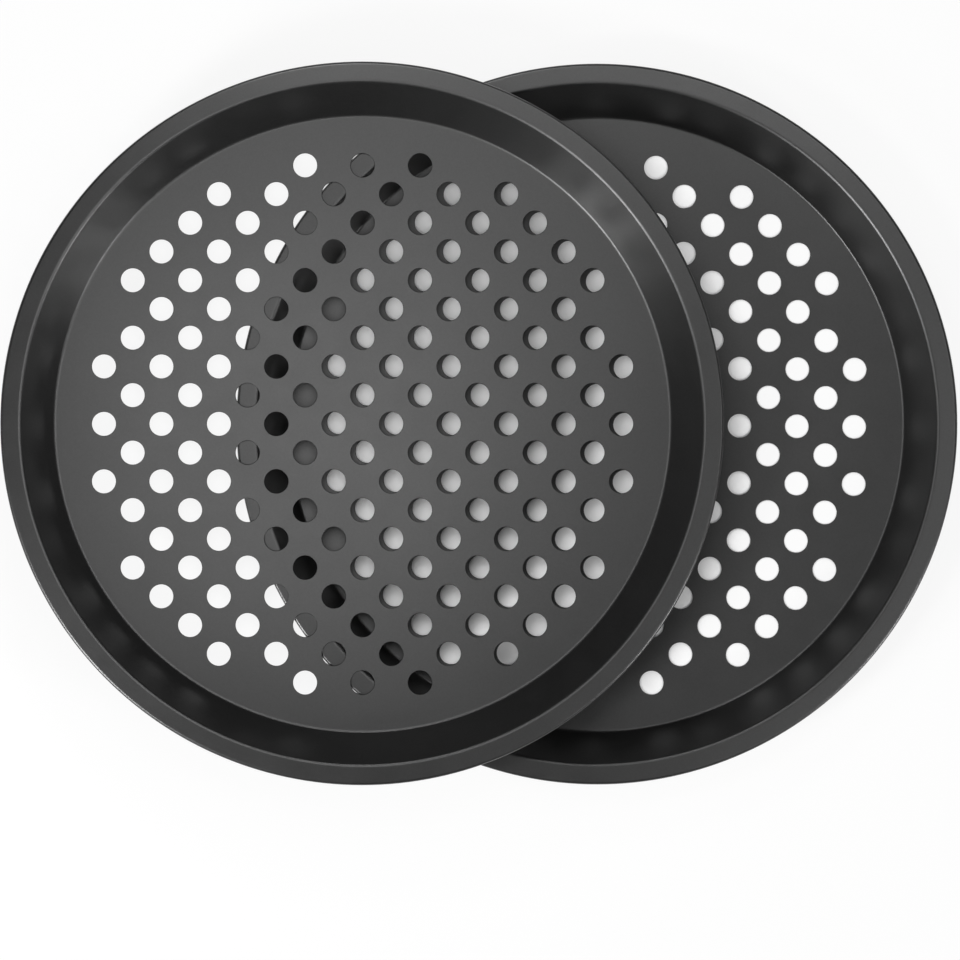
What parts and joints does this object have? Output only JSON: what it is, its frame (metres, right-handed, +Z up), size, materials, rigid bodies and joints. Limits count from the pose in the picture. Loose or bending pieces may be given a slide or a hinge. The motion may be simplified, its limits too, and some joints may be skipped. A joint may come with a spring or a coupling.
{
  "type": "pizza pan",
  "caption": "Pair of round, shallow, perforated pizza pans in dark non-stick coated steel, with sloping walls, flat flanges and rolled wired rims, one lying on the rim of the other.",
  "frame": {"origin": "centre of the back pan's underside, on the surface that it lies on", "axes": "+X from the front pan's centre towards the back pan's, which is the right of the picture; +Y towards the top of the picture; +Z up, out of the pans' open side"},
  "size_m": [0.424, 0.32, 0.04],
  "materials": {
    "non_stick_steel": "dark grey satin non-stick coating with a fine speckle, baked on to pressed carbon steel",
    "rim_wire_steel": "drawn steel wire"
  },
  "bodies": {
    "back_pan": {"back_pan_sheet": "non_stick_steel", "back_pan_rim_wire": "rim_wire_steel"},
    "front_pan": {"front_pan_sheet": "non_stick_steel", "front_pan_rim_wire": "rim_wire_steel"}
  },
  "joints": [
    {"name": "front_pan_lift", "type": "slide", "parent": "back_pan", "child": "front_pan", "axis": [0, 0, 1], "range_m": [0, 0.1]}
  ]
}
